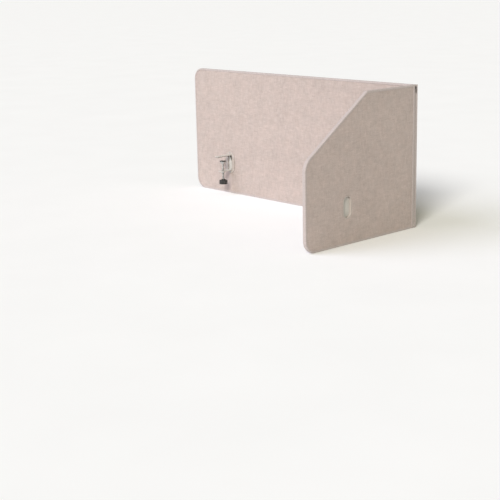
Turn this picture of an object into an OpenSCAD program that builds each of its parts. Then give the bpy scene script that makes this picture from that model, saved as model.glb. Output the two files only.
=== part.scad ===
// Desk privacy panel: an L-shaped pair of fabric-covered boards that clamps round the back
// and one side of a desk top. The two boards meet at a corner held by a zip, and three
// screw clamps sit in pill-shaped slots in the boards.
// Units are millimetres, +Z is up, the user sits at -Y and the side board stands at +X.
// The origin is the centre of the whole footprint, level with the boards' lower edges.

/* [Boards] */
// Width of the rear board
rear_w = 1200; // [900:10:1600]
// Depth of the side board, from its front edge to the rear board's face
side_d = 545; // [480:5:700]
// Height of both boards
panel_h = 510; // [460:5:600]
// Thickness over the edge trim
panel_t = 14; // [14:0.5:20]
// Radius of the rounded corners
corner_r = 45; // [20:1:60]
// Height of the side board's front edge, where it would meet the slope
front_h = 301; // [260:1:360]
// Distance from the side board's front edge to the top of its slope
slope_run = 298; // [240:1:380]
// Radius of the bend between the front edge and the slope
bend_r = 60; // [30:1:90]
// Radius of the crest at the top of the slope
crest_r = 14; // [10:1:30]

/* [Layers] */
// Thickness of the stiff core
core_t = 8; // [6:0.5:12]
// Thickness of the felt on each side of the core
felt_t = 1.2; // [0.8:0.1:2]
// Thickness of the cover fabric
fabric_t = 0.6; // [0.4:0.1:1]
// Depth of the edge trim on the faces
trim_d = 7.5; // [6:0.5:12]

/* [Desk and clamps] */
// Height of the desk's top face above the boards' lower edges
desk_z = 158; // [140:1:200]
// Thickness of the desk top that the clamps are closed on
desk_t = 18; // [12:1:40]
// Distance from each end of the rear board to the middle of its slot
rear_slot_in = 215; // [120:5:400]
// Distance from the side board's front edge to the middle of its slot
side_slot_in = 200; // [120:5:300]
// Width of a slot inside its liner
slot_w = 37; // [32:1:44]
// Height of a slot inside its liner
slot_h = 74; // [70:1:90]
// Reach of the upper jaw past the board's inner face
jaw_reach = 76; // [60:1:110]
// Width of both jaws
jaw_w = 21; // [16:1:21]

/* [Hidden] */
$fn = 96;
eps = 0.5;                          // how far a cutter runs past the face it cuts

// boards: w is the distance from a board's mid plane, positive outwards
half_t = panel_t / 2;
seam_gap = 1;                       // gap between the two boards at the corner
side_l = side_d - seam_gap;         // real length of the side board
slope_a = atan((panel_h - front_h) / slope_run);
sandwich_t = core_t + 2 * (felt_t + fabric_t);
half_s = sandwich_t / 2;
trim_wall = 3.6;                    // thickness of the trim's web
trim_edge_r = 2;                    // roundness of the trim's outer edges
sheet_inset = trim_wall + 0.2;      // from the outline to the edge of the layers
end_web = 4.4;                      // depth of the end trims' web, which holds the zip
end_inset = end_web + 0.2;
total_d = side_d + panel_t;
slope_n = [-sin(slope_a), cos(slope_a)];
bend_c = [bend_r, front_h + bend_r * tan(slope_a) - bend_r / cos(slope_a)];
butt_gap = 0.1;                     // between two lengths of trim
crest_c = [(panel_h - crest_r - front_h + crest_r / cos(slope_a)) / tan(slope_a), panel_h - crest_r];
slope_from = bend_c + bend_r * slope_n;
slope_l = norm(crest_c + crest_r * slope_n - slope_from);

// zip: u is measured outwards from the rear board's end, v backwards from its front face
zip_u = -0.9;                       // depth of the tapes and of the coils' centres
coil_r = 0.75;
side_coil_v = 2.55;
rear_coil_v = 4.65;
coil_mid_v = (side_coil_v + rear_coil_v) / 2;
groove_d = 2.9;
groove_w = 6.6;
tape_t = 0.5;
tape_slot_t = 0.6;
side_tape_w = 6.8;
rear_tape_w = 7.5;
zip_z0 = 14;
zip_z1 = panel_h - 5.5;
slider_z0 = panel_h - 14;
slider_l = 8.5;
slider_v0 = 1;
slider_v1 = 6.2;
wing_t = 0.9;
pull_z = slider_z0 + 4.5;
pull_u = 2;
pull_l = 18;

// clamps: origin in the middle of the slot on the board's mid plane
slot_z = desk_z + 8.5 - slot_h / 2;
slot_r = slot_w / 2;
slot_s = slot_h / 2 - slot_r;       // from the slot's middle to the centre of each round end
liner_wall = 1.4;
liner_floor = 1.4;
liner_flange = 1.3;
slot_clear = 0.3;
boss_r = 3.2;
boss_y = slot_s + slot_r + liner_wall + 2.6;
screw_r = 1.25;
steel_t = 2.8;
spine_w1 = -half_s + 0.2 + liner_floor;
spine_w2 = spine_w1 + steel_t;
pad_t = 1.6;
jaw_y = desk_z - slot_z + pad_t;    // underside of the upper jaw
window_w = jaw_w + 1;
window_h = 2 * (jaw_y + steel_t) + 0.8;
bezel_t = 2;
bezel_r = boss_y + 4.5 - slot_s;
screw_w = -half_t - 40;             // the clamp screw's axis
lower_reach = 60;
tip_r = 6;
thread_r = 4;
nut_r = 5.5;
nut_flange_r = 8;
nut_flange_h = 6;
foot_y = desk_z - desk_t - slot_z;  // top of the foot pad
foot_r = 14;
plate_t = 3.5;
head_r = 4.8;                       // the spindle's head, which turns in the foot's socket
head_h = 4;
head_y = foot_y - pad_t - plate_t - head_h;
head_clear = 0.06;
hub_r = 8;
hub_bottom = head_y - 2.5;
neck_r = 3.2;
neck_l = 6;
knob_r = 17;
knob_h = 20;
knob_top = -66;
flutes = 8;

// ---------------------------------------------------------------- outlines

module rear_outline(inset, at_end) {
    translate([at_end, inset]) square([rear_w - corner_r - at_end, panel_h - 2 * inset]);
    translate([rear_w - corner_r, corner_r]) square([corner_r - inset, panel_h - 2 * corner_r]);
    for (z = [corner_r, panel_h - corner_r])
        translate([rear_w - corner_r, z]) circle(r = corner_r - inset);
}

module side_outline(inset, at_end) {
    polygon([
        [corner_r, inset], [side_l - at_end, inset], [side_l - at_end, panel_h - inset],
        [crest_c[0], panel_h - inset], crest_c + (crest_r - inset) * slope_n,
        bend_c + (bend_r - inset) * slope_n, [inset, bend_c[1]], [inset, corner_r]
    ]);
    translate([corner_r, corner_r]) circle(r = corner_r - inset);
    translate(bend_c) circle(r = bend_r - inset);
    translate(crest_c) circle(r = crest_r - inset);
}

module pill(r, half_run) {
    translate([-r, -half_run]) square([2 * r, 2 * half_run]);
    for (y = [-half_run, half_run]) translate([0, y]) circle(r = r);
}

module slot_hole(with_bosses) {
    pill(slot_r + liner_wall + slot_clear, slot_s);
    if (with_bosses) for (y = [-boss_y, boss_y]) translate([0, y]) circle(r = boss_r + slot_clear);
}

// ---------------------------------------------------------------- placing

// rear board: x runs from the corner to the far end, y up, z outwards (to the back)
module rear_place() {
    translate([rear_w / 2, total_d / 2 - half_t, 0]) rotate([90, 0, 180]) children();
}

// side board: x runs from the front edge to the corner, y up, z outwards
module side_place() {
    translate([rear_w / 2 - half_t, -total_d / 2, 0]) rotate([90, 0, 90]) children();
}

module rear_left() {
    rear_place() translate([rear_w - rear_slot_in, slot_z, 0]) children();
}

module rear_right() {
    rear_place() translate([rear_slot_in, slot_z, 0]) children();
}

module side() {
    side_place() translate([side_slot_in, slot_z, 0]) children();
}

// the corner seam: x is u, y is v
module zip_place() {
    translate([rear_w / 2, total_d / 2 - panel_t, 0]) children();
}

// ---------------------------------------------------------------- boards

module layer(w, t) {
    translate([0, 0, w]) linear_extrude(t) children();
}

module rear_sheet(with_bosses) {
    difference() {
        rear_outline(sheet_inset, end_inset);
        for (x = [rear_slot_in, rear_w - rear_slot_in]) translate([x, slot_z]) slot_hole(with_bosses);
    }
}

module side_sheet(with_bosses) {
    difference() {
        side_outline(sheet_inset, end_inset);
        translate([side_slot_in, slot_z]) slot_hole(with_bosses);
    }
}

module rear_core_board() {
    color([0.72, 0.60, 0.45]) rear_place() layer(-core_t / 2, core_t) rear_sheet(true);
}

module rear_front_felt() {
    color([0.85, 0.83, 0.80]) rear_place() layer(-core_t / 2 - felt_t, felt_t) rear_sheet(true);
}

module rear_back_felt() {
    color([0.85, 0.83, 0.80]) rear_place() layer(core_t / 2, felt_t) rear_sheet(false);
}

module rear_front_fabric() {
    color([0.85, 0.78, 0.75]) rear_place() layer(-half_s, fabric_t) rear_sheet(true);
}

module rear_back_fabric() {
    color([0.85, 0.78, 0.75]) rear_place() layer(half_s - fabric_t, fabric_t) rear_sheet(false);
}

module side_core_board() {
    color([0.72, 0.60, 0.45]) side_place() layer(-core_t / 2, core_t) side_sheet(true);
}

module side_inner_felt() {
    color([0.85, 0.83, 0.80]) side_place() layer(-core_t / 2 - felt_t, felt_t) side_sheet(true);
}

module side_outer_felt() {
    color([0.85, 0.83, 0.80]) side_place() layer(core_t / 2, felt_t) side_sheet(false);
}

module side_inner_fabric() {
    color([0.85, 0.78, 0.75]) side_place() layer(-half_s, fabric_t) side_sheet(true);
}

module side_outer_fabric() {
    color([0.85, 0.78, 0.75]) side_place() layer(half_s - fabric_t, fabric_t) side_sheet(false);
}

// ---------------------------------------------------------------- edge trim

// U-section with rounded outer edges: x = 0 is the outline and the U opens to -x
module trim_section() {
    straight = half_t - trim_edge_r;
    difference() {
        union() {
            translate([-trim_d, -half_t]) square([trim_d - trim_edge_r, panel_t]);
            translate([-trim_d, -straight]) square([trim_d, 2 * straight]);
            for (w = [-straight, straight]) translate([-trim_edge_r, w]) circle(r = trim_edge_r);
        }
        translate([-trim_d - eps, -half_s]) square([trim_d - trim_wall + eps, sandwich_t]);
    }
}

// a straight run from a point, with the outside on its left
module trim_run(from, angle, length) {
    translate(from) rotate(angle) rotate([90, 0, 90]) linear_extrude(length) trim_section();
}

module trim_bend(centre, r, from_angle, turn) {
    translate(centre) rotate(from_angle) rotate_extrude(angle = turn) translate([r, 0]) trim_section();
}

// The rear board's trim is in five lengths, butted at both ends of each corner.
module rear_edge_trim() {
    straight = rear_w - corner_r - trim_d - butt_gap;
    far = rear_w - corner_r;
    color([0.80, 0.77, 0.75]) rear_place() {
        trim_run([trim_d, panel_h], 0, straight);
        trim_bend([far, panel_h - corner_r], corner_r, 0, 90);
        trim_run([rear_w, panel_h - corner_r - butt_gap], -90, panel_h - 2 * (corner_r + butt_gap));
        trim_bend([far, corner_r], corner_r, -90, 90);
        trim_run([far - butt_gap, 0], 180, straight);
    }
}

// The side board's trim is in three lengths, butted at the bend and at the crest.
module side_edge_trim() {
    color([0.80, 0.77, 0.75]) side_place() {
        trim_run([side_l - trim_d, 0], 180, side_l - trim_d - corner_r);
        trim_bend([corner_r, corner_r], corner_r, 180, 90);
        trim_run([0, corner_r], 90, bend_c[1] - corner_r - butt_gap);
        translate(slope_from) rotate(slope_a) {
            trim_bend([0, -bend_r], bend_r, 90, 90 - slope_a);
            trim_run([0, 0], 0, slope_l);
            trim_bend([slope_l, -crest_r], crest_r, 90, -slope_a);
        }
        trim_run([crest_c[0] + butt_gap, panel_h], 0, side_l - trim_d - crest_c[0] - butt_gap);
    }
}

// upright block as high as a board, trim_d deep, with the trim's rounded top and bottom
module end_block() {
    rotate([90, 0, 90]) linear_extrude(trim_d) rounded_block(panel_h, panel_t, trim_edge_r);
}

module rounded_block(h, t, r) {
    translate([0, -t / 2 + r]) square([h, t - 2 * r]);
    translate([r, -t / 2]) square([h - 2 * r, t]);
    for (x = [r, h - r], w = [-t / 2 + r, t / 2 - r]) translate([x, w]) circle(r = r);
}

// channel for the layers, in a block that spans x = 0 to trim_d and opens to +x
module end_channel() {
    translate([end_web, trim_wall, -half_s]) cube([trim_d - end_web + eps, panel_h - 2 * trim_wall, sandwich_t]);
}

module rear_end_trim() {
    color([0.80, 0.77, 0.75]) rear_place() difference() {
        end_block();
        end_channel();
        // the zip's groove, open to the front and to the end
        translate([-eps, -eps, -half_t - eps]) cube([groove_d + eps, panel_h + 2 * eps, groove_w + eps]);
        // the slot that the tape is sewn into
        translate([-zip_u - tape_slot_t / 2, -eps, -half_t + groove_w - eps])
            cube([tape_slot_t, panel_h + 2 * eps, rear_tape_w - 1.2 + eps]);
    }
}

module side_end_trim() {
    color([0.80, 0.77, 0.75]) side_place() translate([side_l, 0, 0]) mirror([1, 0, 0]) difference() {
        end_block();
        end_channel();
        // the slot that the tape is sewn into
        translate([-eps, 1.5, half_t + zip_u - tape_slot_t / 2])
            cube([side_tape_w + 0.2 + eps, panel_h - 3, tape_slot_t]);
    }
}

// ---------------------------------------------------------------- zip

module bar(u0, u1, v0, v1, z0, z1) {
    translate([u0, v0, z0]) cube([u1 - u0, v1 - v0, z1 - z0]);
}

module rear_zip_tape() {
    v0 = rear_coil_v + coil_r;
    color([0.62, 0.57, 0.53]) zip_place()
        bar(zip_u - tape_t / 2, zip_u + tape_t / 2, v0, v0 + rear_tape_w, 2, panel_h - 2);
}

module side_zip_tape() {
    color([0.62, 0.57, 0.53]) zip_place()
        bar(zip_u - tape_t / 2, zip_u + tape_t / 2, -seam_gap - side_tape_w, -0.7, 2, panel_h - 2);
}

module rear_zip_coil() {
    color([0.50, 0.46, 0.42]) zip_place()
        translate([zip_u, rear_coil_v, zip_z0]) cylinder(r = coil_r, h = zip_z1 - zip_z0);
}

// the side half of the chain, with the free edge of its tape
module side_zip_coil() {
    color([0.50, 0.46, 0.42]) zip_place() union() {
        translate([zip_u, side_coil_v, zip_z0]) cylinder(r = coil_r, h = zip_z1 - zip_z0);
        bar(zip_u - tape_t / 2, zip_u + tape_t / 2, -0.1, side_coil_v, zip_z0, zip_z1);
    }
}

module zip_top_stops() {
    color([0.45, 0.42, 0.40]) zip_place() for (v = [side_coil_v, rear_coil_v])
        bar(zip_u - 0.8, zip_u + 0.8, v - 0.7, v + 0.7, zip_z1, zip_z1 + 2.5);
}

module zip_retainer_box() {
    color([0.45, 0.42, 0.40]) zip_place() difference() {
        bar(zip_u - 1.4, zip_u + 1.3, side_coil_v - 1.2, rear_coil_v + coil_r, zip_z0 - 9, zip_z0);
        translate([zip_u, side_coil_v, zip_z0 - 7]) cylinder(r = 0.6, h = 8);
    }
}

module zip_insertion_pin() {
    color([0.45, 0.42, 0.40]) zip_place() translate([zip_u, side_coil_v, zip_z0 - 6.5]) cylinder(r = 0.55, h = 6.5);
}

module zip_slider() {
    z1 = slider_z0 + slider_l;
    under = zip_u - coil_r - 0.15;
    over = zip_u + coil_r + 0.15;
    lip = 0.6;
    mid = (slider_v0 + slider_v1) / 2;
    color([0.35, 0.33, 0.31]) zip_place() difference() {
        union() {
            bar(over, over + wing_t, slider_v0, slider_v1, slider_z0, z1);
            bar(under - 0.6, under, slider_v0, slider_v1, slider_z0, z1);
            for (v = [slider_v0, slider_v1 - lip]) {
                bar(zip_u + 0.35, over, v, v + lip, slider_z0, z1);
                bar(under, zip_u - 0.35, v, v + lip, slider_z0, z1);
            }
            bar(under, over, mid - 0.18, mid + 0.18, z1 - 3, z1);
            // two lugs with the pin that the pull hangs on
            for (v = [slider_v0 + 0.2, slider_v1 - 1])
                bar(over, pull_u + 0.9, v, v + 0.8, pull_z - 0.9, pull_z + 0.9);
            translate([pull_u, slider_v0 + 0.2, pull_z]) rotate([-90, 0, 0])
                cylinder(r = 0.5, h = slider_v1 - slider_v0 - 0.4);
        }
    }
}

module zip_pull() {
    mid = (slider_v0 + slider_v1) / 2;
    color([0.35, 0.33, 0.31]) zip_place() difference() {
        union() {
            translate([pull_u, mid - 1.2, pull_z]) rotate([-90, 0, 0]) cylinder(r = 1, h = 2.4);
            bar(pull_u - 0.5, pull_u + 0.5, mid - 1.2, mid + 1.2, pull_z - 6, pull_z);
            bar(pull_u - 0.5, pull_u + 0.5, mid - 2, mid + 2, pull_z - pull_l + 2, pull_z - 5);
            translate([pull_u - 0.5, mid, pull_z - pull_l + 2]) rotate([0, 90, 0]) cylinder(r = 2, h = 1);
        }
        translate([pull_u, mid - 2, pull_z]) rotate([-90, 0, 0]) cylinder(r = 0.55, h = 4);
    }
}

// ---------------------------------------------------------------- clamps
// z is outwards through the board, so the jaws point to -z

module upright_cylinder(w, y0, y1, r) {
    translate([0, y0, w]) rotate([-90, 0, 0]) cylinder(r = r, h = y1 - y0);
}

// moulded cup that lines the slot, with a flange on the outer face
module slot_liner() {
    floor_w = -half_s + 0.2;
    color([0.72, 0.69, 0.66]) difference() {
        union() {
            layer(floor_w, half_s - floor_w) pill(slot_r + liner_wall, slot_s);
            layer(half_s, 1) pill(slot_r + liner_wall + liner_flange, slot_s);
            for (y = [-boss_y, boss_y]) translate([0, y, floor_w]) cylinder(r = boss_r, h = core_t);
        }
        layer(floor_w + liner_floor, sandwich_t) pill(slot_r, slot_s);
        translate([-window_w / 2, -window_h / 2, floor_w - eps]) cube([window_w, window_h, liner_floor + 2 * eps]);
        for (y = [-boss_y, boss_y]) translate([0, y, floor_w - eps]) cylinder(r = screw_r, h = core_t - 1 + eps);
    }
}

// ring on the inner face, screwed to the liner
module bezel() {
    back = -half_s - bezel_t;
    color([0.72, 0.69, 0.66]) difference() {
        layer(back, bezel_t) pill(bezel_r, slot_s);
        translate([-window_w / 2, -window_h / 2, back - eps]) cube([window_w, window_h, bezel_t + 2 * eps]);
        for (y = [-boss_y, boss_y]) translate([0, y, back]) {
            translate([0, 0, -eps]) cylinder(r = 1.7, h = bezel_t + 2 * eps);
            cylinder(r1 = 3.1, r2 = 1.7, h = 1.4);
        }
    }
}

module bezel_screws() {
    back = -half_s - bezel_t;
    color([0.75, 0.75, 0.76]) for (y = [-boss_y, boss_y]) translate([0, y, back]) difference() {
        union() {
            cylinder(r1 = 2.9, r2 = 1.5, h = 1.4);
            cylinder(r = screw_r, h = 8);
        }
        for (a = [0, 90]) rotate(a) translate([-1.7, -0.3, -eps]) cube([3.4, 0.6, 0.8 + eps]);
    }
}

// flat jaw with two rounded tip corners; y is its underside
module jaw(y, reach) {
    tip = -half_t - reach;
    translate([-jaw_w / 2, y, tip + tip_r]) cube([jaw_w, steel_t, spine_w1 - tip - tip_r + steel_t / 2]);
    translate([-jaw_w / 2 + tip_r, y, tip]) cube([jaw_w - 2 * tip_r, steel_t, tip_r]);
    for (x = [-jaw_w / 2 + tip_r, jaw_w / 2 - tip_r])
        translate([x, y, tip + tip_r]) rotate([-90, 0, 0]) cylinder(r = tip_r, h = steel_t);
}

// weld fillet between the spine and a jaw, on the jaw's inner side
module fillet(y, up) {
    r = 1.6;
    translate([-jaw_w / 2, y, spine_w1]) rotate([0, 90, 0]) linear_extrude(jaw_w) difference() {
        translate([0, up > 0 ? 0 : -r]) square(r);
        translate([r, up * r]) circle(r = r);
    }
}

module bracket() {
    color([0.88, 0.86, 0.83]) difference() {
        union() {
            layer(spine_w1, steel_t) pill(slot_r - 0.5, slot_s);
            jaw(jaw_y, jaw_reach);
            jaw(-jaw_y - steel_t, lower_reach);
            fillet(jaw_y, -1);
            fillet(-jaw_y, 1);
        }
        upright_cylinder(screw_w, -jaw_y - steel_t - eps, -jaw_y + eps, nut_r);
    }
}

module jaw_pad() {
    length = jaw_reach - 6;
    color([0.20, 0.18, 0.17]) translate([-jaw_w / 2 + 1, jaw_y - pad_t, -half_t - jaw_reach + 2])
        cube([jaw_w - 2, pad_t, length]);
}

// threaded insert pressed into the lower jaw from below
module nut() {
    color([0.78, 0.76, 0.70]) difference() {
        union() {
            upright_cylinder(screw_w, -jaw_y - steel_t - nut_flange_h, -jaw_y - steel_t, nut_flange_r);
            upright_cylinder(screw_w, -jaw_y - steel_t, -jaw_y, nut_r);
        }
        upright_cylinder(screw_w, -jaw_y - steel_t - nut_flange_h - eps, -jaw_y + eps, thread_r + 0.06);
    }
}

module spindle() {
    color([0.80, 0.80, 0.81]) union() {
        upright_cylinder(screw_w, head_y, head_y + head_h, head_r);
        upright_cylinder(screw_w, head_y - neck_l, head_y, neck_r);
        upright_cylinder(screw_w, knob_top - knob_h + 6, head_y - neck_l, thread_r);
    }
}

module knob() {
    bottom = knob_top - knob_h;
    color([0.16, 0.15, 0.15]) difference() {
        union() {
            upright_cylinder(screw_w, bottom, knob_top - 4, knob_r);
            upright_cylinder(screw_w, knob_top - 4, knob_top, 8);
        }
        for (i = [0 : flutes - 1]) {
            a = i * 360 / flutes;
            translate([(knob_r + 2) * cos(a), bottom - eps, screw_w + (knob_r + 2) * sin(a)])
                rotate([-90, 0, 0]) cylinder(r = 4.2, h = knob_h - 4 + 2 * eps);
        }
        upright_cylinder(screw_w, bottom + 6, knob_top + eps, thread_r);
    }
}

// pressure foot with the socket that holds the spindle's head
module foot() {
    plate_top = foot_y - pad_t;
    color([0.80, 0.80, 0.81]) difference() {
        union() {
            upright_cylinder(screw_w, plate_top - plate_t, plate_top, foot_r);
            upright_cylinder(screw_w, hub_bottom, plate_top - plate_t, hub_r);
        }
        upright_cylinder(screw_w, head_y - head_clear, head_y + head_h + head_clear, head_r + head_clear);
        upright_cylinder(screw_w, hub_bottom - eps, head_y, neck_r + 0.1);
    }
}

module foot_pad() {
    color([0.20, 0.18, 0.17]) upright_cylinder(screw_w, foot_y - pad_t, foot_y, foot_r - 1);
}

// ---------------------------------------------------------------- nodes

rear_core_board();
rear_front_felt();
rear_back_felt();
rear_front_fabric();
rear_back_fabric();
rear_edge_trim();
rear_end_trim();
side_core_board();
side_inner_felt();
side_outer_felt();
side_inner_fabric();
side_outer_fabric();
side_edge_trim();
side_end_trim();
rear_zip_tape();
side_zip_tape();
rear_zip_coil();
side_zip_coil();
zip_top_stops();
zip_retainer_box();
zip_insertion_pin();
zip_slider();
zip_pull();
rear_left() slot_liner();  // rear_left_slot_liner
rear_left() bezel();  // rear_left_bezel
rear_left() bezel_screws();  // rear_left_bezel_screws
rear_left() bracket();  // rear_left_bracket
rear_left() jaw_pad();  // rear_left_jaw_pad
rear_left() nut();  // rear_left_nut
rear_left() spindle();  // rear_left_spindle
rear_left() knob();  // rear_left_knob
rear_left() foot();  // rear_left_foot
rear_left() foot_pad();  // rear_left_foot_pad
rear_right() slot_liner();  // rear_right_slot_liner
rear_right() bezel();  // rear_right_bezel
rear_right() bezel_screws();  // rear_right_bezel_screws
rear_right() bracket();  // rear_right_bracket
rear_right() jaw_pad();  // rear_right_jaw_pad
rear_right() nut();  // rear_right_nut
rear_right() spindle();  // rear_right_spindle
rear_right() knob();  // rear_right_knob
rear_right() foot();  // rear_right_foot
rear_right() foot_pad();  // rear_right_foot_pad
side() slot_liner();  // side_slot_liner
side() bezel();  // side_bezel
side() bezel_screws();  // side_bezel_screws
side() bracket();  // side_bracket
side() jaw_pad();  // side_jaw_pad
side() nut();  // side_nut
side() spindle();  // side_spindle
side() knob();  // side_knob
side() foot();  // side_foot
side() foot_pad();  // side_foot_pad
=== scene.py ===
"""Desk privacy panel: the finished pieces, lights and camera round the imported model.

Metres, +Z up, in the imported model's own frame: the rear board lies along X at +Y, the side
board along Y at +X, and both stand on z = 0.
"""
import math

import bmesh
import bpy
import numpy as np
from mathutils import Matrix, Vector, geometry


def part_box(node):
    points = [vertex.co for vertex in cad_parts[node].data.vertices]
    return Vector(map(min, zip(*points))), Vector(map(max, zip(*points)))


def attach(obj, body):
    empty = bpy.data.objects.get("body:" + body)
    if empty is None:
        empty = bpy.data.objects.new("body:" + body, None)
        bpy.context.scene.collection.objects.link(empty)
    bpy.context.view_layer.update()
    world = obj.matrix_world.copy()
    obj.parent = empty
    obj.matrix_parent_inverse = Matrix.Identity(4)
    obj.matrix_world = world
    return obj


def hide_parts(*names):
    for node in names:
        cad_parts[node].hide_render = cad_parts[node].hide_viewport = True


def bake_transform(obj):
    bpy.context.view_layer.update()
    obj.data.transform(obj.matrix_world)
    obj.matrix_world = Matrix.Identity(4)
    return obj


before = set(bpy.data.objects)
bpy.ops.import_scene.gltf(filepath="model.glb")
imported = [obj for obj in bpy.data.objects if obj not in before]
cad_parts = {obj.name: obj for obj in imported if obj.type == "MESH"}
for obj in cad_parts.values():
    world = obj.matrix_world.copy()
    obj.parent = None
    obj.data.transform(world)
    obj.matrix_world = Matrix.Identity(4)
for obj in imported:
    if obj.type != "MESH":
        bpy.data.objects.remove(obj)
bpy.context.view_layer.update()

scene = bpy.context.scene
MM = 0.001

# ------------------------------------------------------------------ sizes, from the frame

REAR_LO, REAR_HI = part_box("rear_edge_trim")
SIDE_LO, SIDE_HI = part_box("side_edge_trim")
END_LO, END_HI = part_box("rear_end_trim")
BOARD_H = REAR_HI.z - REAR_LO.z
BOARD_T = REAR_HI.y - REAR_LO.y
HALF_T = BOARD_T / 2
REAR_W = END_HI.x - REAR_LO.x
REAR_MID_Y = (REAR_LO.y + REAR_HI.y) / 2
SIDE_MID_X = (SIDE_LO.x + SIDE_HI.x) / 2
SIDE_FRONT_Y = SIDE_LO.y
SIDE_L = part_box("side_end_trim")[1].y - SIDE_FRONT_Y
CORNER_R = 45 * MM
FRONT_H = 301 * MM              # where the side board's front edge would meet its slope
SLOPE_RUN = 298 * MM
BEND_R = 60 * MM
CREST_R = 14 * MM
SLOPE = math.atan((BOARD_H - FRONT_H) / SLOPE_RUN)

CORE_HALF = 4 * MM
FABRIC_T = 0.6 * MM
CORE_LO, CORE_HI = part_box("rear_core_board")
SHEET_EDGE = CORE_LO.z          # from a board's outline to the edge of its layers
SHEET_END = END_HI.x - CORE_HI.x            # the same at the corner
BINDING_D = END_HI.x - END_LO.x            # depth of the edge binding on the faces
SEAM_W = 5.55 * MM              # how far from the mid plane the fabric is held down at a seam
FIELD_W = 6.5 * MM              # and how far out it stands in the open field
SOFTNESS = 2.5 * MM             # distance over which it rises

SLOT_HALF_RUN = 18.5 * MM
LINER_LO, LINER_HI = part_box("side_slot_liner")
LINER_FLANGE_R = (LINER_HI.y - LINER_LO.y) / 2
LINER_HOLE_R = 20.2 * MM
BEZEL_R = 27 * MM
BEZEL_HOLE_R = 24.3 * MM
BEZEL_HOLE_RUN = 20.2 * MM

# clamp name, the body that carries it, and whether its jaws run along x
CLAMPS = (
    ("rear_left", "rear_panel", False),
    ("rear_right", "rear_panel", False),
    ("side", "side_panel", True),
)


def middle(node):
    lo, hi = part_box(node)
    return (lo + hi) / 2


# ------------------------------------------------------------------ camera

CAMERA_PLACE = (3.129, -2.815, 0.915)
CAMERA_TURN = (47.84, 14.01, -1.24)     # degrees: heading, tilt downwards and roll
CAMERA_LENS = 81.32                     # millimetres, on a sensor 36 mm wide
SENSOR_W = 36


def make_camera():
    """To the right of the panel and in front of it, looking a little downwards."""
    data = bpy.data.cameras.new("camera")
    data.sensor_width = SENSOR_W
    data.lens = CAMERA_LENS
    camera = bpy.data.objects.new("camera", data)
    scene.collection.objects.link(camera)
    heading, tilt, roll = (math.radians(a) for a in CAMERA_TURN)
    camera.matrix_world = (
        Matrix.Translation(CAMERA_PLACE)
        @ Matrix.Rotation(heading, 4, "Z")
        @ Matrix.Rotation(math.pi / 2 - tilt, 4, "X")
        @ Matrix.Rotation(roll, 4, "Z")
    )
    scene.camera = camera


make_camera()

# ------------------------------------------------------------------ material building blocks


class Shader:
    """A node material round one Principled shader, with short calls for the usual nodes."""

    def __init__(self, name, **constants):
        self.material = bpy.data.materials.new(name)
        self.material.use_nodes = True
        self.tree = self.material.node_tree
        self.bsdf = self.tree.nodes["Principled BSDF"]
        for key, value in constants.items():
            self.bsdf.inputs[key.replace("_", " ")].default_value = value

    def node(self, kind, inputs=(), **settings):
        made = self.tree.nodes.new("ShaderNode" + kind)
        for key, value in settings.items():
            setattr(made, key, value)
        for key, value in dict(inputs).items():
            self.feed(made.inputs[key], value)
        return made

    def feed(self, socket, value):
        if isinstance(value, bpy.types.NodeSocket):
            self.tree.links.new(value, socket)
        else:
            socket.default_value = value

    def math(self, operation, a, b=0.0, clamp=False):
        return self.node("Math", {0: a, 1: b}, operation=operation, use_clamp=clamp).outputs[0]

    def position(self):
        return self.node("TexCoord").outputs["Object"]

    def split(self, vector):
        return self.node("SeparateXYZ", {0: vector}).outputs

    def join(self, x=0.0, y=0.0, z=0.0):
        return self.node("CombineXYZ", {0: x, 1: y, 2: z}).outputs[0]

    def stretched(self, vector, x, y, z):
        return self.node("VectorMath", {0: vector, 1: (x, y, z)}, operation="MULTIPLY").outputs[0]

    def noise(self, vector, scale, detail=2.0, roughness=0.5):
        inputs = {"Vector": vector, "Scale": scale, "Detail": detail, "Roughness": roughness}
        return self.node("TexNoise", inputs).outputs["Fac"]

    def spots(self, vector, scale):
        return self.node("TexVoronoi", {"Vector": vector, "Scale": scale}).outputs["Distance"]

    def ramp(self, factor, *stops):
        made = self.node("ValToRGB", {0: factor})
        elements = made.color_ramp.elements
        while len(elements) < len(stops):
            elements.new(0.5)
        for element, (place, value) in zip(elements, stops):
            element.position = place
            element.color = (*value, 1) if hasattr(value, "__len__") else (value, value, value, 1)
        return made.outputs[0]

    def mix(self, factor, a, b, blend="MIX"):
        made = self.node("Mix", data_type="RGBA", blend_type=blend)
        self.feed(made.inputs[0], factor)
        for socket, colour in ((made.inputs[6], a), (made.inputs[7], b)):
            self.feed(socket, colour if isinstance(colour, bpy.types.NodeSocket) else (*colour, 1))
        return made.outputs[2]

    def range(self, value, low, high):
        return self.node("MapRange", {0: value, 3: low, 4: high}).outputs[0]

    def finish(self, colour, roughness, height=None, depth=0.0001, strength=1.0):
        self.feed(self.bsdf.inputs["Base Color"], colour)
        self.feed(self.bsdf.inputs["Roughness"], roughness)
        if height is not None:
            inputs = {"Height": height, "Distance": depth, "Strength": strength}
            self.feed(self.bsdf.inputs["Normal"], self.node("Bump", inputs).outputs[0])
        return self.material


def plain_weave(s, across, along, pitch):
    """(height, which) of a plain weave: which is 1 where the upright yarn is on top."""
    warp = s.math("SINE", s.math("MULTIPLY", across, math.pi / pitch))
    weft = s.math("SINE", s.math("MULTIPLY", along, math.pi / pitch))
    which = s.math("GREATER_THAN", s.math("MULTIPLY", warp, weft), 0.0)
    warp_up = s.math("ABSOLUTE", warp)
    weft_up = s.math("ABSOLUTE", weft)
    over = s.math("MULTIPLY", warp_up, weft_up)
    ridge = s.node("Mix", {0: which, 2: weft_up, 3: warp_up}).outputs[0]
    return s.math("ADD", s.math("MULTIPLY", ridge, 0.6), s.math("MULTIPLY", over, 0.4)), which


# ------------------------------------------------------------------ materials

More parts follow.
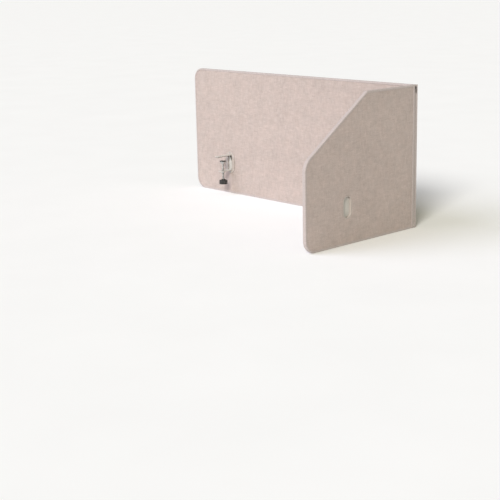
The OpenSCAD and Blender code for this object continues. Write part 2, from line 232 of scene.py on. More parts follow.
def cover_fabric():
    """Rose-beige melange: a plain weave of slubby yarns with lighter and darker fibres, and painted shade in
    the weave's hollows.
    """
    s = Shader("cover_fabric", Sheen_Weight=0.25, Sheen_Roughness=0.55, Specular_IOR_Level=0.25)
    place = s.position()
    x, y, z = s.split(place)
    level = s.math("ADD", x, y)
    drift = s.math("MULTIPLY", s.math("SUBTRACT", s.noise(place, 60, 1), 0.5), 0.0009)
    height, which = plain_weave(s, s.math("ADD", level, drift), s.math("ADD", z, drift), 1.15 * MM)
    flat = s.join(level, 0.0, z)
    upright_slubs = s.noise(s.stretched(flat, 520, 1, 34), 1, 2, 0.6)
    level_slubs = s.noise(s.stretched(flat, 34, 1, 520), 1, 2, 0.6)
    yarn = s.node("Mix", {0: which, 2: level_slubs, 3: upright_slubs}).outputs[0]
    streaks = s.noise(s.stretched(flat, 90, 1, 36), 1, 2, 0.55)
    cross_streaks = s.noise(s.stretched(flat, 30, 1, 85), 1, 2, 0.55)
    blotches = s.noise(flat, 24, 3, 0.5)
    wide = s.noise(flat, 9, 2)
    fibres = s.noise(s.stretched(flat, 1700, 1, 1700), 1, 1)

    base = s.mix(s.ramp(yarn, (0.34, 0.0), (0.66, 1.0)), (0.452, 0.364, 0.328), (0.604, 0.511, 0.474))
    tone = s.math("ADD", s.math("MULTIPLY", streaks, 0.5), s.math("MULTIPLY", cross_streaks, 0.5))
    mottled = s.mix(s.ramp(tone, (0.40, 0.0), (0.60, 1.0)), (0.90, 0.893, 0.885), (1.0, 1.0, 1.0))
    base = s.mix(1.0, base, mottled, "MULTIPLY")
    pinker = s.mix(s.ramp(blotches, (0.40, 0.0), (0.62, 1.0)), (0.955, 0.955, 0.955), (1.0, 0.985, 0.98))
    base = s.mix(1.0, base, pinker, "MULTIPLY")
    base = s.mix(1.0, base, s.ramp(wide, (0.35, 0.945), (0.65, 1.0)), "MULTIPLY")
    # painted shade: the colour is darkened where the weave is low, in the hollows between the yarns
    painted_hollow_shade = s.ramp(height, (0.0, 0.80), (0.45, 1.0))
    base = s.mix(1.0, base, painted_hollow_shade, "MULTIPLY")
    fuzz = s.math("ADD", height, s.math("MULTIPLY", fibres, 0.35))
    relief = s.math("ADD", fuzz, s.math("MULTIPLY", yarn, 0.5))
    return s.finish(base, s.range(fibres, 0.82, 0.96), relief, 0.22 * MM)


def felt():
    """Needled polyester felt: short tangled fibres, no weave."""
    s = Shader("felt", Sheen_Weight=0.3, Specular_IOR_Level=0.2)
    place = s.position()
    tangle = s.noise(place, 900, 4, 0.7)
    tufts = s.noise(place, 120, 3, 0.6)
    colour = s.mix(s.ramp(tangle, (0.3, 0.0), (0.7, 1.0)), (0.62, 0.60, 0.57), (0.80, 0.78, 0.75))
    colour = s.mix(1.0, colour, s.ramp(tufts, (0.3, 0.9), (0.7, 1.0)), "MULTIPLY")
    return s.finish(colour, s.range(tangle, 0.85, 0.98), tangle, 0.25 * MM)


def core_board():
    """Thin fibreboard: pressed fibre with darker specks."""
    s = Shader("core_board", Specular_IOR_Level=0.3)
    place = s.position()
    fibres = s.noise(place, 500, 4, 0.65)
    specks = s.ramp(s.spots(place, 260), (0.0, 0.0), (0.25, 1.0))
    colour = s.mix(fibres, (0.42, 0.30, 0.19), (0.60, 0.46, 0.32))
    colour = s.mix(specks, (0.24, 0.16, 0.10), colour)
    return s.finish(colour, s.range(fibres, 0.6, 0.8), fibres, 0.05 * MM)


def woven_band(name, dark, light, rib, relief):
    """Ribbed woven band. Its mesh carries the distance along and across the band."""
    s = Shader(name, Sheen_Weight=0.15, Sheen_Roughness=0.5, Specular_IOR_Level=0.3)
    band = s.node("Attribute", attribute_name="band").outputs["Vector"]
    along, across, _ = s.split(band)
    wander = s.math("MULTIPLY", s.math("SUBTRACT", s.noise(band, 90, 1), 0.5), 0.3 * MM)
    ribs = s.math("ABSOLUTE", s.math("SINE", s.math("MULTIPLY", s.math("ADD", along, wander), math.pi / rib)))
    threads = s.math("ABSOLUTE", s.math("SINE", s.math("MULTIPLY", across, math.pi / (rib * 0.6))))
    height = s.math("ADD", s.math("MULTIPLY", ribs, 0.7), s.math("MULTIPLY", threads, 0.3))
    yarn = s.noise(s.stretched(band, 900, 60, 1), 1, 2, 0.6)
    shade = s.noise(s.position(), 9, 2)
    colour = s.mix(s.ramp(yarn, (0.3, 0.0), (0.7, 1.0)), dark, light)
    # painted shade: the colour is darkened in the hollows between the ribs and threads, by their height
    colour = s.mix(1.0, colour, s.ramp(height, (0.0, 0.72), (0.5, 1.0)), "MULTIPLY")
    colour = s.mix(1.0, colour, s.ramp(shade, (0.3, 0.95), (0.7, 1.0)), "MULTIPLY")
    return s.finish(colour, s.range(yarn, 0.7, 0.88), height, relief)


def thread():
    """Twisted sewing thread."""
    s = Shader("thread", Sheen_Weight=0.2, Specular_IOR_Level=0.4)
    place = s.position()
    twist = s.noise(place, 2500, 1)
    colour = s.mix(twist, (0.422, 0.363, 0.338), (0.575, 0.507, 0.482))
    return s.finish(colour, s.range(twist, 0.5, 0.7), twist, 0.05 * MM)


def nylon():
    """The zip's nylon: slightly glossy, with paler and darker patches."""
    s = Shader("zip_nylon", Specular_IOR_Level=0.5)
    place = s.position()
    rub = s.noise(place, 150, 3)
    colour = s.mix(rub, (0.422, 0.372, 0.346), (0.558, 0.499, 0.473))
    return s.finish(colour, s.range(rub, 0.35, 0.5), s.noise(place, 3000, 2), 0.01 * MM)


def with_bare_metal(s, colour, worn, metal):
    """Lets bare metal through the paint where worn is near 1."""
    s.feed(s.bsdf.inputs["Metallic"], worn)
    return s.mix(worn, colour, metal)


def dark_enamel(name, on_edges):
    """Enamelled zinc of the slider and pull; the edges are rubbed to the metal in places."""
    s = Shader(name)
    place = s.position()
    colour = s.mix(s.noise(place, 220, 2), (0.045, 0.039, 0.035), (0.075, 0.066, 0.060))
    if on_edges:
        rubbed = s.ramp(s.noise(place, 700, 3), (0.48, 0.0), (0.60, 1.0))
        colour = with_bare_metal(s, colour, rubbed, (0.45, 0.43, 0.40))
    return s.finish(colour, s.range(s.noise(place, 400, 3), 0.28, 0.45), s.noise(place, 900, 2), 0.02 * MM)


def moulded_plastic(name, dark, light, gloss, grain, on_edges):
    """Moulded plastic with a fine spark-eroded grain, polished by handling on its edges."""
    s = Shader(name, Specular_IOR_Level=0.45)
    place = s.position()
    cells = s.noise(place, grain, 3, 0.6)
    flow = s.noise(place, 35, 2)
    colour = s.mix(s.ramp(flow, (0.3, 0.0), (0.7, 1.0)), dark, light)
    if on_edges:
        handled = s.ramp(s.noise(place, 120, 3), (0.35, 0.15), (0.65, 0.45))
        colour = s.mix(handled, colour, tuple(1.3 * c + 0.01 for c in light))
        gloss = gloss - 0.1
    return s.finish(colour, s.range(cells, gloss, gloss + 0.14), cells, 0.035 * MM)


def powder_coat(name, on_edges):
    """Fine-textured powder coat over steel; the edges are rubbed through in places."""
    s = Shader(name, Coat_Weight=0.1, Coat_Roughness=0.4)
    place = s.position()
    peel = s.noise(place, 1400, 2, 0.5)
    dust = s.noise(place, 60, 4, 0.6)
    colour = s.mix(s.ramp(dust, (0.35, 0.0), (0.65, 1.0)), (0.496, 0.471, 0.431), (0.547, 0.522, 0.482))
    if on_edges:
        rubbed = s.ramp(s.noise(place, 260, 4), (0.56, 0.0), (0.62, 1.0))
        colour = with_bare_metal(s, colour, rubbed, (0.40, 0.39, 0.38))
    return s.finish(colour, s.range(peel, 0.42, 0.60), peel, 0.04 * MM)


def rubber():
    """Matte black rubber with a little chalky bloom."""
    s = Shader("rubber", Specular_IOR_Level=0.35)
    place = s.position()
    bloom = s.noise(place, 80, 4, 0.6)
    colour = s.mix(s.ramp(bloom, (0.45, 0.0), (0.75, 1.0)), (0.028, 0.026, 0.025), (0.065, 0.062, 0.06))
    return s.finish(colour, s.range(bloom, 0.70, 0.9), s.noise(place, 1100, 2), 0.04 * MM)


def zinc_steel():
    """Zinc-plated steel: turned, slightly blotched and oiled."""
    s = Shader("zinc_steel", Metallic=1.0)
    place = s.position()
    rings = s.noise(s.stretched(place, 60, 60, 2200), 1, 2)
    blotch = s.noise(place, 90, 3, 0.6)
    colour = s.mix(s.ramp(blotch, (0.35, 0.0), (0.65, 1.0)), (0.46, 0.46, 0.45), (0.62, 0.62, 0.60))
    rough = s.math("ADD", s.range(rings, 0.22, 0.34), s.math("MULTIPLY", blotch, 0.12))
    return s.finish(colour, rough, rings, 0.01 * MM)


FABRIC = cover_fabric()
FELT = felt()
CORE = core_board()
BINDING = woven_band("edge_binding", (0.422, 0.363, 0.342), (0.545, 0.473, 0.456), 1.0 * MM, 0.12 * MM)
ZIP_TAPE = woven_band("zip_tape", (0.406, 0.346, 0.321), (0.524, 0.456, 0.431), 0.5 * MM, 0.06 * MM)
THREAD = thread()
NYLON = nylon()


def faces_and_edges(recipe, name, *settings):
    """A pair of one material: for the faces, and for the eased edges."""
    return [recipe(name + where, *settings, bool(where)) for where in ("", "_edges")]


ENAMEL = faces_and_edges(dark_enamel, "zip_enamel")
MOULDING = faces_and_edges(
    moulded_plastic, "moulding", (0.439, 0.384, 0.351), (0.490, 0.431, 0.393), 0.42, 1800)
KNOB_PLASTIC = faces_and_edges(
    moulded_plastic, "knob_plastic", (0.022, 0.021, 0.020), (0.034, 0.032, 0.031), 0.45, 1500)
POWDER = faces_and_edges(powder_coat, "powder_coat")
RUBBER = rubber()
STEEL = zinc_steel()


# ------------------------------------------------------------------ mesh building blocks

def add_piece(name, bm, material, body, replaced=(), smooth=True):
    """Turns a bmesh into a piece that rides on a body, or on none if it is to bend between two."""
    bmesh.ops.recalc_face_normals(bm, faces=bm.faces)
    mesh = bpy.data.meshes.new(name)
    bm.to_mesh(mesh)
    bm.free()
    mesh.materials.append(material)
    for polygon in mesh.polygons:
        polygon.use_smooth = smooth
    piece = bpy.data.objects.new(name, mesh)
    scene.collection.objects.link(piece)
    if body:
        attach(piece, body)
    if replaced:
        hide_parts(*replaced)
    return piece


def from_lists(vertices, faces):
    bm = bmesh.new()
    made = [bm.verts.new(v) for v in vertices]
    for face in faces:
        bm.faces.new([made[i] for i in face])
    return bm


def sharpen(piece, degrees=35):
    """Keeps corners sharper than this crisp, and the rest smooth."""
    mesh = piece.data
    bm = bmesh.new()
    bm.from_mesh(mesh)
    for edge in bm.edges:
        edge.smooth = len(edge.link_faces) == 2 and edge.calc_face_angle(0) < math.radians(degrees)
    bm.to_mesh(mesh)
    bm.free()
    return piece


def arc(centre, radius, start, end, steps):
    """Points on an arc, angles in degrees, both ends included."""
    turns = [math.radians(start + (end - start) * i / steps) for i in range(steps + 1)]
    return [(centre[0] + radius * math.cos(a), centre[1] + radius * math.sin(a)) for a in turns]


def grid_faces(rows, columns, wrap):
    """Quads of a grid of rows of points; wrap closes each row on itself."""
    last = columns if wrap else columns - 1
    return [
        (r * columns + c, r * columns + (c + 1) % columns,
         (r + 1) * columns + (c + 1) % columns, (r + 1) * columns + c)
        for r in range(rows - 1) for c in range(last)
    ]


def lathe(centre, outline, segments):
    """Turns (radius, z) points about an upright axis; the ends are capped."""
    vertices = [
        (centre[0] + r * math.cos(a), centre[1] + r * math.sin(a), z)
        for r, z in outline for a in np.linspace(0, 2 * math.pi, segments, endpoint=False)
    ]
    faces = grid_faces(len(outline), segments, True)
    faces += [tuple(range(segments)), tuple(range((len(outline) - 1) * segments, len(outline) * segments))]
    return from_lists(vertices, faces)


def store_band(mesh, values):
    """Stores (along, across) in metres on each point, for the woven bands."""
    layer = mesh.attributes.new("band", "FLOAT_VECTOR", "POINT")
    layer.data.foreach_set("vector", np.array([(a, c, 0.0) for a, c in values], np.float32).ravel())


def refined(node, width, materials, body, segments=3, limit=30):
    """A CAD piece as it would leave the workshop: the same shape with eased edges.

    materials is the one for the faces and the one for the eased edges, or a single one.
    """
    bm = bmesh.new()
    bm.from_mesh(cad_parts[node].data)
    bmesh.ops.remove_doubles(bm, verts=bm.verts, dist=1e-6)
    bmesh.ops.dissolve_limit(bm, angle_limit=math.radians(0.6), verts=bm.verts, edges=bm.edges)
    materials = materials if isinstance(materials, list) else [materials]
    piece = add_piece(node + "_finished", bm, materials[0], body, (node,))
    bevel = piece.modifiers.new("eased_edges", "BEVEL")
    bevel.width = width
    bevel.segments = segments
    bevel.limit_method = "ANGLE"
    bevel.angle_limit = math.radians(limit)
    bevel.harden_normals = True
    if len(materials) == 2:
        piece.data.materials.append(materials[1])
        bevel.material = 1
    return piece


# ------------------------------------------------------------------ board outlines

BEND_C = (BEND_R, FRONT_H + BEND_R * math.tan(SLOPE) - BEND_R / math.cos(SLOPE))
CREST_C = ((BOARD_H - CREST_R - FRONT_H + CREST_R / math.cos(SLOPE)) / math.tan(SLOPE), BOARD_H - CREST_R)


def rear_outline(inset, at_end, steps=14):
    """Outline in board coordinates: along from the corner, and up. It runs anticlockwise."""
    far = REAR_W - CORNER_R
    return (
        [(at_end, inset)]
        + arc((far, CORNER_R), CORNER_R - inset, -90, 0, steps)
        + arc((far, BOARD_H - CORNER_R), CORNER_R - inset, 0, 90, steps)
        + [(at_end, BOARD_H - inset)]
    )


def side_outline(inset, at_end, steps=14):
    """The same for the side board, along from its front edge."""
    lean = 90 + math.degrees(SLOPE)
    return (
        [(SIDE_L - at_end, inset), (SIDE_L - at_end, BOARD_H - inset)]
        + arc(CREST_C, CREST_R - inset, 90, lean, steps // 2)
        + arc(BEND_C, BEND_R - inset, lean, 180, steps)
        + arc((CORNER_R, CORNER_R), CORNER_R - inset, 180, 270, steps)
    )


def rear_place(along, up, out):
    return (END_HI.x - along, REAR_MID_Y + out, up)


def side_place(along, up, out):
    return (SIDE_MID_X + out, SIDE_FRONT_Y + along, up)


def slot_centre(clamp):
    """Middle of a clamp's slot in its board's coordinates."""
    centre = middle(clamp + "_slot_liner")
    along = centre.y - SIDE_FRONT_Y if clamp == "side" else END_HI.x - centre.x
    return along, centre.z


BOARDS = {
    "rear": (rear_outline, rear_place, [slot_centre("rear_left"), slot_centre("rear_right")], "rear_panel"),
    "side": (side_outline, side_place, [slot_centre("side")], "side_panel"),
}


# ------------------------------------------------------------------ covers and felts

def densify(points, step, closed=True):
    """The same line with points no further apart than step."""
    made = []
    ends = points[1:] + points[:1] if closed else points[1:]
    for (x0, z0), (x1, z1) in zip(points, ends):
        count = max(1, math.ceil(math.hypot(x1 - x0, z1 - z0) / step))
        made += [(x0 + (x1 - x0) * i / count, z0 + (z1 - z0) * i / count) for i in range(count)]
    return made if closed else made + [points[-1]]


def pill(centre, radius, half_run, steps=16):
    x, z = centre
    return arc((x, z + half_run), radius, 0, 180, steps) + arc((x, z - half_run), radius, 180, 360, steps)


def to_line(points, line):
    """Shortest distance from each point to a closed line."""
    p = np.asarray(points)[:, None, :]
    a = np.asarray(line)[None, :, :]
    b = np.roll(np.asarray(line), -1, axis=0)[None, :, :]
    t = np.clip(((p - a) * (b - a)).sum(2) / np.maximum(((b - a) ** 2).sum(2), 1e-18), 0, 1)
    return np.sqrt((((a + t[..., None] * (b - a)) - p) ** 2).sum(2)).min(1)


def to_slot(points, centre, half_run):
    """Distance from each point to the upright middle line of a slot."""
    p = np.asarray(points) - np.asarray(centre)
    return np.hypot(p[:, 0], np.maximum(np.abs(p[:, 1]) - half_run, 0))


def sheet_grid(board, hole_r, hole_run, held_r):
    """(points, triangles, seam distance) of one layer of a board, with its slot holes."""
    outline, _, slots, _ = BOARDS[board]
    points, edges = [], []

    def add_ring(ring, fixed):
        start = len(points)
        points.extend(ring)
        if fixed:
            edges.extend((start + i, start + (i + 1) % len(ring)) for i in range(len(ring)))

    border = outline(SHEET_EDGE, SHEET_END)
    add_ring(densify(border, 15 * MM), True)
    for past_lip in (-0.6, 0.2, 1.2, 2.6, 4.6):
        inset = BINDING_D + past_lip * MM
        add_ring(densify(outline(inset, inset), 12 * MM), False)
    for centre in slots:
        add_ring(pill(centre, hole_r, hole_run), True)
        for extra in (-0.6, 0.4, 1.6, 3.2, 6, 10):
            add_ring(pill(centre, held_r + extra * MM, SLOT_HALF_RUN), False)
    rim = outline(0, 0)
    step = 14 * MM
    lo, hi = np.min(rim, axis=0), np.max(rim, axis=0)
    field = np.array([(x, z) for x in np.arange(lo[0], hi[0], step) for z in np.arange(lo[1], hi[1], step)])
    far_in = outline(13.5 * MM, 13.5 * MM)
    inside = np.ones(len(field), bool)
    for (x0, z0), (x1, z1) in zip(far_in, far_in[1:] + far_in[:1]):
        cross = (x1 - x0) * (field[:, 1] - z0) - (z1 - z0) * (field[:, 0] - x0)
        inside &= cross > 3 * MM * math.hypot(x1 - x0, z1 - z0)
    for centre in slots:
        inside &= to_slot(field, centre, SLOT_HALF_RUN) > held_r + 13 * MM
    points.extend(map(tuple, field[inside]))
    made = geometry.delaunay_2d_cdt([Vector(p) for p in points], edges, [], 0, 1e-6)
    flat = np.array([tuple(v) for v in made[0]])
    middles = np.array([flat[list(f)].mean(0) for f in made[2]])
    keep = np.ones(len(middles), bool)
    for centre in slots:
        keep &= to_slot(middles, centre, hole_run) > hole_r * 0.999
    triangles = [tuple(f) for f, k in zip(made[2], keep) if k]
    seam = to_line(flat, densify(rim, 40 * MM)) - BINDING_D
    for centre in slots:
        seam = np.minimum(seam, to_slot(flat, centre, SLOT_HALF_RUN) - held_r)
    return flat, triangles, np.maximum(seam, 0)


def crown(flat, seam):
    """How far out the cover stands: held down at the seams, proud and faintly uneven between."""
    rise = 1 - np.exp(-seam / SOFTNESS)
    uneven = np.sin(flat[:, 0] * 31 + 1.3 * np.sin(flat[:, 1] * 17)) * np.sin(flat[:, 1] * 23 + 0.7)
    return SEAM_W + (FIELD_W - SEAM_W) * rise + 0.12 * MM * rise * uneven


def shell(flat, triangles, low, high, place, outwards):
    """Closed shell between two distances from the board's mid plane."""
    count = len(flat)
    vertices = [place(x, z, outwards * w) for (x, z), w in zip(flat, low)]
    vertices += [place(x, z, outwards * w) for (x, z), w in zip(flat, high)]
    faces = [tuple(reversed(t)) for t in triangles] + [tuple(i + count for i in t) for t in triangles]
    seen = {}
    for t in triangles:
        for a, b in ((t[0], t[1]), (t[1], t[2]), (t[2], t[0])):
            seen[(a, b)] = True
    faces += [(a, b, b + count, a + count) for a, b in seen if (b, a) not in seen]
    return from_lists(vertices, faces)


def dress_board(board, face, outwards, hole_r, hole_run, held_r):
    """The felt and the cover fabric on one face of a board."""
    _, place, _, body = BOARDS[board]
    flat, triangles, seam = sheet_grid(board, hole_r, hole_run, held_r)
    top = crown(flat, seam)
    under = top - FABRIC_T
    base = np.full(len(flat), CORE_HALF)
    soft = shell(flat, triangles, base, under - 0.02 * MM, place, outwards)
    wadding = add_piece(f"{board}_{face}_wadding", soft, FELT, body, (f"{board}_{face}_felt",))
    cover = add_piece(f"{board}_{face}_cover", shell(flat, triangles, under, top, place, outwards),
                      FABRIC, body, (f"{board}_{face}_fabric",))
    for piece in (wadding, cover):
        sharpen(piece, 60)


FACES = (("rear", "front", -1), ("rear", "back", 1), ("side", "inner", -1), ("side", "outer", 1))
for board, face, outwards in FACES:
    if outwards > 0:
        dress_board(board, face, outwards, LINER_HOLE_R, SLOT_HALF_RUN, LINER_FLANGE_R)
    else:
        dress_board(board, face, outwards, BEZEL_HOLE_R, BEZEL_HOLE_RUN, BEZEL_R)

for node in ("rear_core_board", "side_core_board"):
    for material_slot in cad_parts[node].material_slots:
        material_slot.material = CORE


# ------------------------------------------------------------------ edge binding

def binding_section():
    """(depth from the outline, distance from the mid plane): a nearly square edge with turned-in lips."""
    radius, crown_d, inner_w = 2 * MM, 0.25 * MM, 5.7 * MM
    lip = [(BINDING_D, inner_w), (BINDING_D + 0.12 * MM, 6.0 * MM), (BINDING_D, 6.45 * MM),
           (BINDING_D - 0.4 * MM, 6.8 * MM), (BINDING_D - 1.1 * MM, 6.95 * MM),
           (BINDING_D - 2.1 * MM, HALF_T)]
    edge = [(radius + crown_d - x, HALF_T - radius + y) for x, y in arc((0, 0), radius, 90, 0, 5)]
    crown_line = [(0.08 * MM, 3.2 * MM), (0.0, 1.4 * MM)]
    half = lip + edge + crown_line
    mirrored = [(d, -w) for d, w in reversed(half)]
    web = SHEET_EDGE - 0.2 * MM
    return half + mirrored + [(web, -inner_w), (web, inner_w)]


def normals_of(line):
    """Outward normal at each point of an open line that runs anticlockwise round a board."""
    p = np.asarray(line)
    ahead = np.vstack([p[1:] - p[:-1], p[-1:] - p[-2:-1]])
    behind = np.vstack([p[1:2] - p[:1], p[1:] - p[:-1]])
    ahead /= np.linalg.norm(ahead, axis=1)[:, None]
    behind /= np.linalg.norm(behind, axis=1)[:, None]
    t = ahead + behind
    t /= np.linalg.norm(t, axis=1)[:, None]
    return np.stack([t[:, 1], -t[:, 0]], 1)


def sweep_along(line, section, place):
    """Sweeps a closed section along an outline; returns the bmesh and the band coordinates."""
    normals = normals_of(line)
    steps = np.r_[0, np.cumsum(np.linalg.norm(np.diff(np.asarray(line), axis=0), axis=1))]
    girth = [0.0]
    for (d0, w0), (d1, w1) in zip(section, section[1:]):
        girth.append(girth[-1] + math.hypot(d1 - d0, w1 - w0))
    vertices, band = [], []
    for (x, z), (nx, nz), run in zip(line, normals, steps):
        for (d, w), across in zip(section, girth):
            vertices.append(place(x - nx * d, z - nz * d, w))
            band.append((run, across))
    count = len(section)
    faces = grid_faces(len(line), count, True)
    faces += [tuple(range(count)), tuple(range((len(line) - 1) * count, len(line) * count))]
    return from_lists(vertices, faces), band


def edge_line(board):
    """The bound part of a board's outline, as an open line."""
    outline = BOARDS[board][0](0, BINDING_D, 20)
    if board == "rear":
        return densify(outline, 30 * MM, closed=False)
    turned = outline[1:] + outline[:1]
    return densify(turned, 30 * MM, closed=False)


def stitch_row(line, depth, out, place, pitch=4.2 * MM, length=3.0 * MM, radius=0.24 * MM):
    """A row of lock stitches: short raised threads that dip into the band at both ends."""
    normals = normals_of(line)
    p = np.asarray(line) - normals * depth
    run = np.r_[0, np.cumsum(np.linalg.norm(np.diff(p, axis=0), axis=1))]
    side = 1 if out > 0 else -1
    vertices, faces = [], []
    for start in np.arange(pitch, run[-1] - pitch, pitch):
        first = len(vertices)
        for share, lift, thick in ((0, -1.0, 0.55), (0.2, 0.1, 1.0), (0.8, 0.1, 1.0), (1, -1.0, 0.55)):
            at = start + share * length
            x, z = np.interp(at, run, p[:, 0]), np.interp(at, run, p[:, 1])
            nx, nz = np.interp(at, run, normals[:, 0]), np.interp(at, run, normals[:, 1])
            for a in range(5):
                turn = 2 * math.pi * a / 5
                sideways = radius * thick * math.cos(turn)
                up = radius * (thick * math.sin(turn) + lift)
                vertices.append(place(x + nx * sideways, z + nz * sideways, out + side * up))
        faces += [tuple(first + i for i in f) for f in grid_faces(4, 5, True)]
        faces += [tuple(range(first, first + 5)), tuple(range(first + 15, first + 20))]
    return from_lists(vertices, faces)


for board in ("rear", "side"):
    _, place, _, body = BOARDS[board]
    line = edge_line(board)
    swept, band = sweep_along(line, binding_section(), place)
    binding = add_piece(f"{board}_edge_binding", swept, BINDING, body, (f"{board}_edge_trim",))
    store_band(binding.data, band)
    sharpen(binding, 50)
    for face, out in (("inner", -HALF_T), ("outer", HALF_T)):
        row = stitch_row(line, BINDING_D - 2.6 * MM, out, place)
        add_piece(f"{board}_{face}_stitches", row, THREAD, body)
    end = refined(f"{board}_end_trim", 0.9 * MM, BINDING, body)
    store_band(end.data, [(v.co.z, v.co.x + v.co.y) for v in end.data.vertices])


# ------------------------------------------------------------------ zip

SEAM_X = END_HI.x
SEAM_Y = REAR_LO.y                # the rear board's inner face
ZIP_U = -0.9 * MM
SIDE_COIL_V = 2.55 * MM
REAR_COIL_V = 4.65 * MM
CHAIN_V = (SIDE_COIL_V + REAR_COIL_V) / 2       # where the two halves of the chain meet


def coil(z0, z1, v, hand, phase):
    """One half of the chain: a spiral of nylon wire, flattened, that meshes with its twin."""
    pitch, wire, wide, deep = 1.3 * MM, 0.31 * MM, 1.12 * MM, 0.62 * MM
    steps, sides = 10, 5
    turns = (z1 - z0) / pitch
    count = int(turns * steps)
    vertices = []
    for i in range(count + 1):
        a = 2 * math.pi * (i / steps + phase)
        centre = Vector((SEAM_X + ZIP_U + deep * math.sin(a), SEAM_Y + v + hand * wide * math.cos(a),
                         z0 + (z1 - z0) * i / count))
        outward = Vector((math.sin(a) * wide, hand * math.cos(a) * deep, 0)).normalized()
        for k in range(sides):
            turn = 2 * math.pi * k / sides
            vertices.append(centre + wire * (math.cos(turn) * outward + math.sin(turn) * Vector((0, 0, 1))))
    faces = grid_faces(count + 1, sides, True)
    faces += [tuple(range(sides)), tuple(range(count * sides, (count + 1) * sides))]
    return from_lists(vertices, faces)


def tape(name, v0, v1, columns, slot_nodes, body):
    """A strip of woven tape, in columns so that it can bend along its length."""
    lo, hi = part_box(slot_nodes[0])
    z0, z1, half = lo.z, hi.z, 0.25 * MM
    section = [(half, v0 + (v1 - v0) * i / columns) for i in range(columns + 1)]
    section += [(-u, v) for u, v in reversed(section)]
    rows = 40
    vertices, band = [], []
    for r in range(rows + 1):
        z = z0 + (z1 - z0) * r / rows
        for u, v in section:
            vertices.append((SEAM_X + ZIP_U + u, SEAM_Y + v, z))
            band.append((z, v))
    count = len(section)
    faces = grid_faces(rows + 1, count, True)
    faces += [tuple(range(count)), tuple(range(rows * count, (rows + 1) * count))]
    piece = add_piece(name, from_lists(vertices, faces), ZIP_TAPE, body, slot_nodes)
    store_band(piece.data, band)
    return sharpen(piece)


coil_lo, coil_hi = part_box("rear_zip_coil")
add_piece("rear_zip_chain", coil(coil_lo.z, coil_hi.z, REAR_COIL_V, 1, 0.5), NYLON, "rear_panel",
          ("rear_zip_coil",))
add_piece("side_zip_chain", coil(coil_lo.z, coil_hi.z, SIDE_COIL_V, 1, 0.0), NYLON, "rear_panel",
          ("side_zip_coil",))
tape("rear_zip_tape_woven", CHAIN_V + 0.1 * MM, 12.9 * MM, 5, ("rear_zip_tape",), "rear_panel")
SIDE_TAPE_V = (-7.8 * MM, CHAIN_V - 0.1 * MM)      # from inside the end trim to the chain
side_tape = tape("side_zip_tape_woven", *SIDE_TAPE_V, 27, ("side_zip_tape",), None)
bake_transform(side_tape)
for node in ("zip_top_stops", "zip_retainer_box", "zip_insertion_pin"):
    refined(node, 0.12 * MM, NYLON, "rear_panel", 2)
refined("zip_slider", 0.14 * MM, ENAMEL, "zip_slider", 2)
refined("zip_pull", 0.22 * MM, ENAMEL, "zip_pull", 2)


# ------------------------------------------------------------------ clamps

def ribbed_pad(clamp, lengthwise_x):
    """Jaw pad with cross ribs on the face that grips the desk."""
    lo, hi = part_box(clamp + "_jaw_pad")
    long0, long1 = (lo.x, hi.x) if lengthwise_x else (lo.y, hi.y)
    wide0, wide1 = (lo.y, hi.y) if lengthwise_x else (lo.x, hi.x)
    ribs = round((long1 - long0) / (3.2 * MM))
    pitch = (long1 - long0) / ribs
    groove = 0.55 * MM
    line = []
    for i in range(ribs):
        a = long0 + i * pitch
        line += [(a + 0.15 * pitch, lo.z), (a + 0.6 * pitch, lo.z), (a + 0.7 * pitch, lo.z + groove),
                 (a + 0.95 * pitch, lo.z + groove)]
    line = [(long0, lo.z + groove)] + line + [(long1, lo.z + groove), (long1, hi.z), (long0, hi.z)]
    vertices = []
    for w in (wide0, wide1):
        vertices += [(a, w, z) if lengthwise_x else (w, a, z) for a, z in line]
    n = len(line)
    faces = [(i, (i + 1) % n, n + (i + 1) % n, n + i) for i in range(n)]
    faces += [tuple(range(n)), tuple(range(n, 2 * n))]
    return from_lists(vertices, faces)


def threaded_spindle(clamp):
    """Turned head and neck over a rolled right-hand thread."""
    lo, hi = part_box(clamp + "_spindle")
    axis = middle(clamp + "_spindle")
    head_r, head_h, neck_r, neck_l = 4.8 * MM, 4 * MM, 3.2 * MM, 6 * MM
    crest_r, root_r, pitch = 4.0 * MM, 3.35 * MM, 1.25 * MM
    segments, per_turn = 20, 6
    thread_top = hi.z - head_h - neck_l
    count = int((thread_top - lo.z) / pitch * per_turn)
    vertices = []
    for i in range(count + 1):
        z = lo.z + (thread_top - lo.z) * i / count
        fade = min(1.0, (thread_top - z) / (1.5 * pitch), (z - lo.z + 0.2 * MM) / pitch)
        for k in range(segments):
            cycle = ((z - lo.z) / pitch - k / segments) % 1.0
            flank = max(0.0, min(1.0, 1.6 - abs(cycle - 0.5) * 5.0)) * fade
            r = root_r + (crest_r - root_r) * flank
            a = 2 * math.pi * k / segments
            vertices.append((axis.x + r * math.cos(a), axis.y + r * math.sin(a), z))
    head = [(neck_r, thread_top + 0.3 * MM), (neck_r, hi.z - head_h), (head_r - 0.5 * MM, hi.z - head_h),
            (head_r, hi.z - head_h + 0.5 * MM), (head_r, hi.z - 0.7 * MM), (head_r - 0.7 * MM, hi.z)]
    for r, z in head:
        vertices += [(axis.x + r * math.cos(2 * math.pi * k / segments),
                      axis.y + r * math.sin(2 * math.pi * k / segments), z) for k in range(segments)]
    rows = count + 1 + len(head)
    faces = grid_faces(rows, segments, True)
    faces += [tuple(range(segments)), tuple(range((rows - 1) * segments, rows * segments))]
    return from_lists(vertices, faces)


def grooved_foot_pad(clamp):
    """Round rubber pad with two ring grooves on its upper face."""
    lo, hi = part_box(clamp + "_foot_pad")
    axis = middle(clamp + "_foot_pad")
    radius = (hi.x - lo.x) / 2
    ease, groove = 0.3 * MM, 0.5 * MM
    outline = [(radius, lo.z), (radius, hi.z - ease), (radius - ease, hi.z)]
    for r in (0.72 * radius, 0.42 * radius):
        outline += [(r + 0.9 * MM, hi.z), (r + 0.6 * MM, hi.z - groove)]
        outline += [(r - 0.6 * MM, hi.z - groove), (r - 0.9 * MM, hi.z)]
    return lathe(axis, outline, 48)


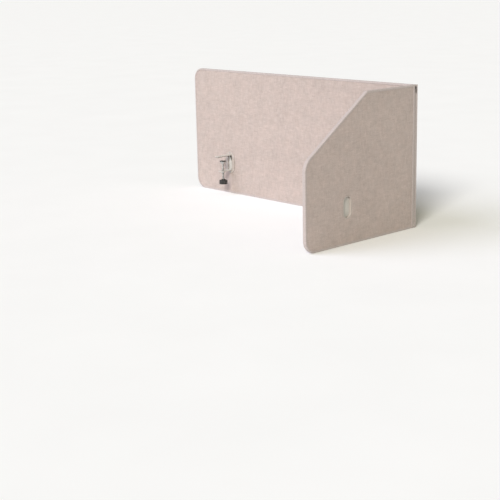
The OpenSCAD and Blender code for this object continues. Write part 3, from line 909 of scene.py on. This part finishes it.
for clamp, body, along_x in CLAMPS:
    refined(clamp + "_slot_liner", 0.45 * MM, MOULDING, body)
    refined(clamp + "_bezel", 0.6 * MM, MOULDING, body)
    refined(clamp + "_bezel_screws", 0.12 * MM, STEEL, body, 2)
    refined(clamp + "_bracket", 0.5 * MM, POWDER, body)
    refined(clamp + "_nut", 0.4 * MM, STEEL, body)
    refined(clamp + "_foot", 0.5 * MM, STEEL, clamp + "_foot")
    refined(clamp + "_knob", 1.0 * MM, KNOB_PLASTIC, clamp + "_screw", 4)
    pad = add_piece(clamp + "_jaw_pad_ribbed", ribbed_pad(clamp, along_x), RUBBER,
                    body, (clamp + "_jaw_pad",))
    sharpen(pad, 20)
    spindle = add_piece(clamp + "_spindle_threaded", threaded_spindle(clamp), STEEL,
                        clamp + "_screw", (clamp + "_spindle",))
    sharpen(spindle, 50)
    foot_pad = add_piece(clamp + "_foot_pad_grooved", grooved_foot_pad(clamp), RUBBER,
                         clamp + "_foot", (clamp + "_foot_pad",))
    sharpen(foot_pad, 35)


# ------------------------------------------------------------------ floor, lights and look

def make_floor():
    s = Shader("floor", Specular_IOR_Level=0.2)
    place = s.position()
    colour = s.mix(s.noise(place, 3, 3), (0.90, 0.90, 0.895), (0.94, 0.94, 0.935))
    material = s.finish(colour, 0.9)
    bm = bmesh.new()
    bmesh.ops.create_grid(bm, x_segments=8, y_segments=8, size=40)
    mesh = bpy.data.meshes.new("floor")
    bm.to_mesh(mesh)
    bm.free()
    mesh.materials.append(material)
    floor = bpy.data.objects.new("floor", mesh)
    scene.collection.objects.link(floor)


def softbox(name, heading, height, spread, strength, colour):
    """A broad, distant light. Heading is in degrees from -Y towards +X; spread is how wide it looks."""
    data = bpy.data.lights.new(name, "SUN")
    data.angle = math.radians(spread)
    data.energy = strength
    data.color = colour
    light = bpy.data.objects.new(name, data)
    across, up = math.radians(heading), math.radians(height)
    towards = Vector((math.sin(across) * math.cos(up), -math.cos(across) * math.cos(up), math.sin(up)))
    light.location = 4 * towards
    light.rotation_euler = towards.to_track_quat("Z", "Y").to_euler()
    scene.collection.objects.link(light)


def make_sky():
    world = bpy.data.worlds.new("studio")
    world.use_nodes = True
    background = world.node_tree.nodes["Background"]
    background.inputs["Color"].default_value = (1.0, 0.98, 0.80, 1)
    background.inputs["Strength"].default_value = 0.34
    scene.world = world


make_floor()
make_sky()
softbox("key", 28, 32, 18, 2.45, (1.0, 0.98, 0.92))
softbox("second", -34, 42, 45, 1.35, (0.97, 1.0, 1.26))
scene.view_settings.view_transform = "Standard"
